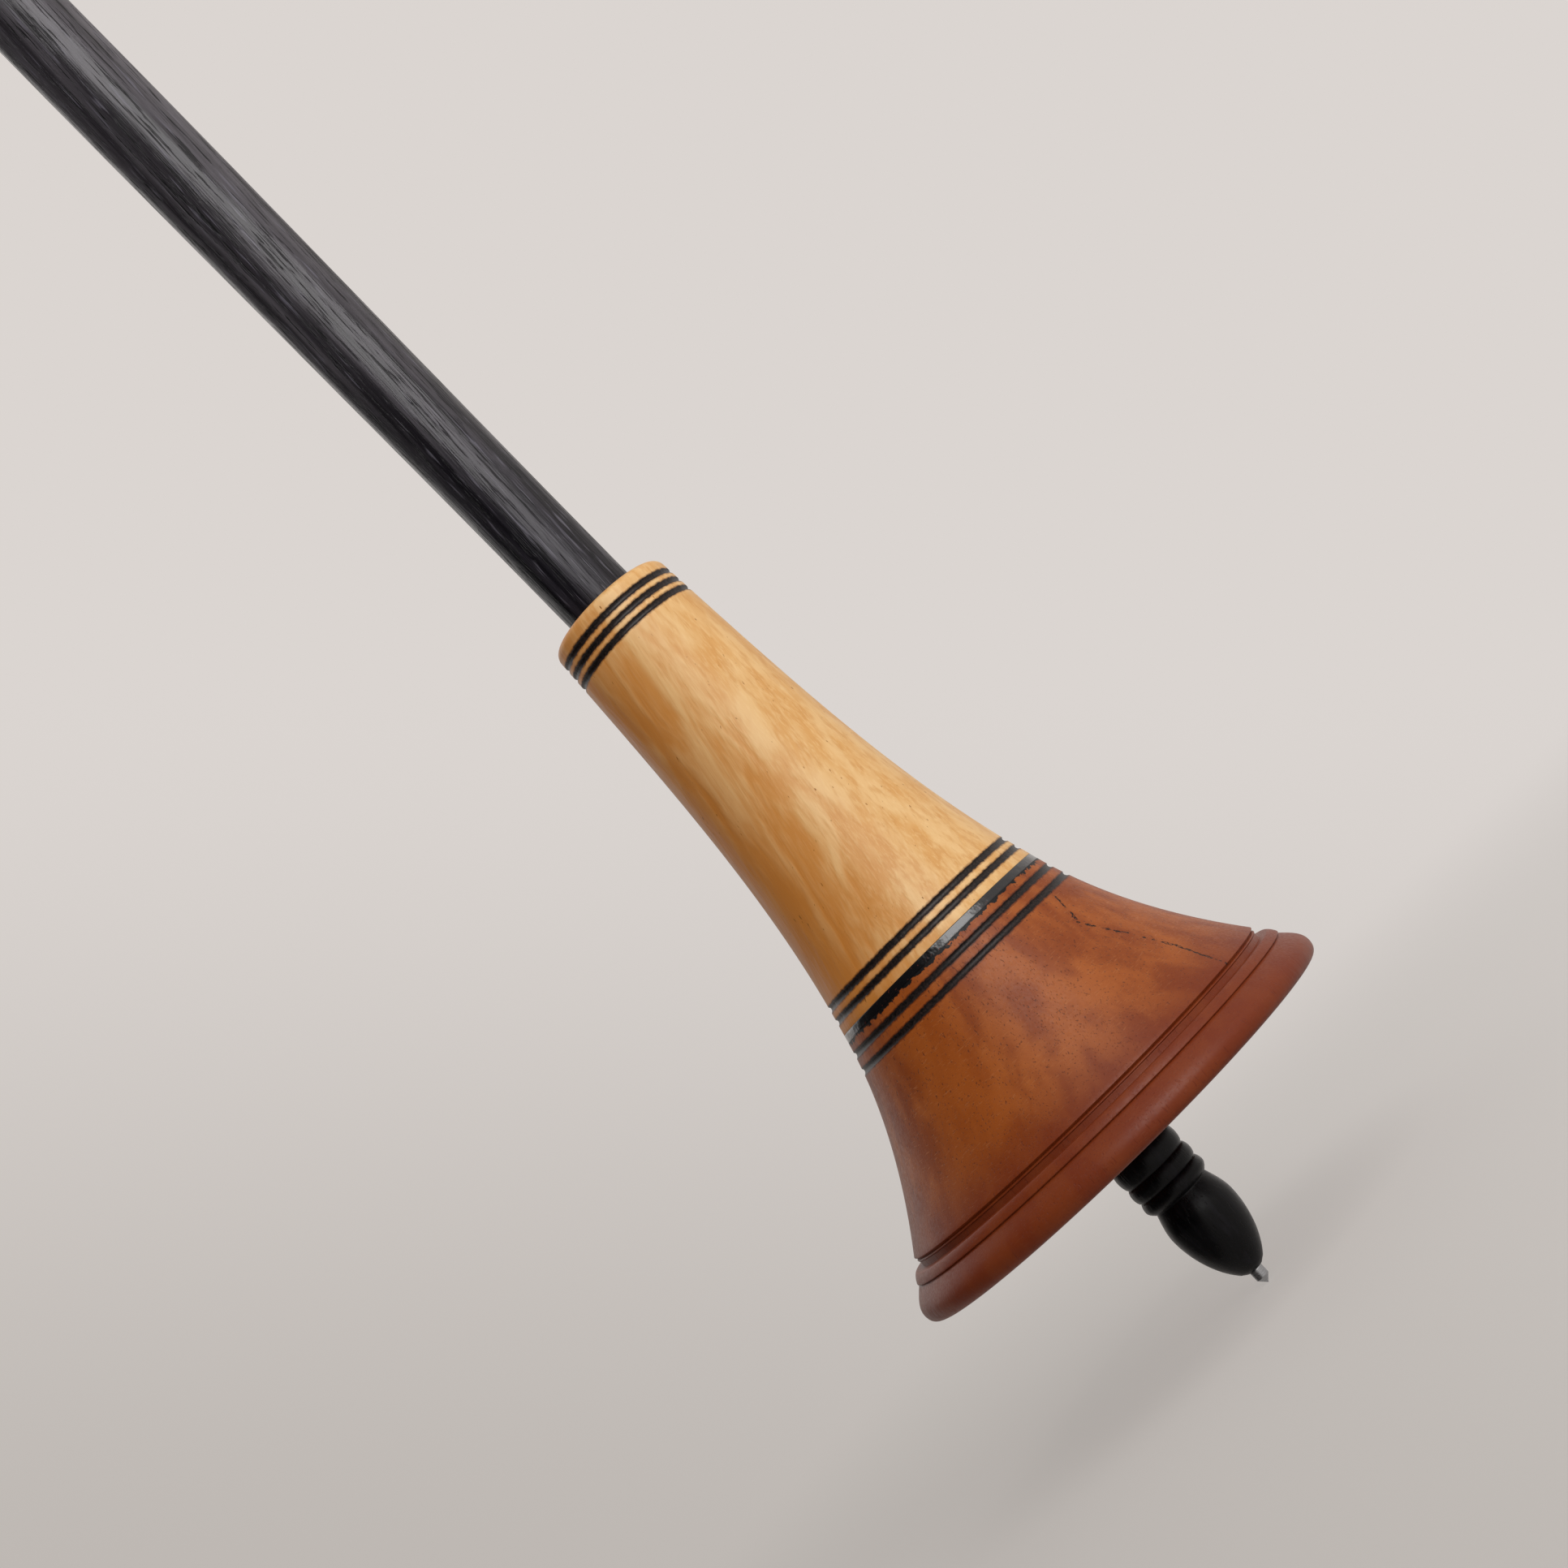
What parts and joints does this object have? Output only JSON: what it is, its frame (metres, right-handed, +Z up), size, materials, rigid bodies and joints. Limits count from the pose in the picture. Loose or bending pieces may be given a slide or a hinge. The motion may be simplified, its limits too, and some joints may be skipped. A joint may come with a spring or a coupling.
{
  "type": "support spindle",
  "caption": "Hand spindle for spinning yarn, turned on its point in a bowl: a slim shaft above a bell-shaped two-wood whorl with a steel-tipped foot.",
  "frame": {"origin": "tip of the steel point, which is where the spindle stands and turns", "axes": "+Z up the shaft, along the axis that every piece is turned on; +X and +Y are square to it, with the pictured side facing -Y"},
  "size_m": [0.05, 0.05, 0.3],
  "materials": {
    "dark_oak": "satin",
    "pale_boxwood": "gloss",
    "black_resin": "gloss",
    "red_fruitwood": "satin",
    "ebony": "satin",
    "steel": "satin"
  },
  "bodies": {
    "root": {"shaft": "dark_oak", "neck": "pale_boxwood", "joint_band": "black_resin", "bell": "red_fruitwood", "foot": "ebony", "steel_point": "steel"}
  },
  "joints": []
}
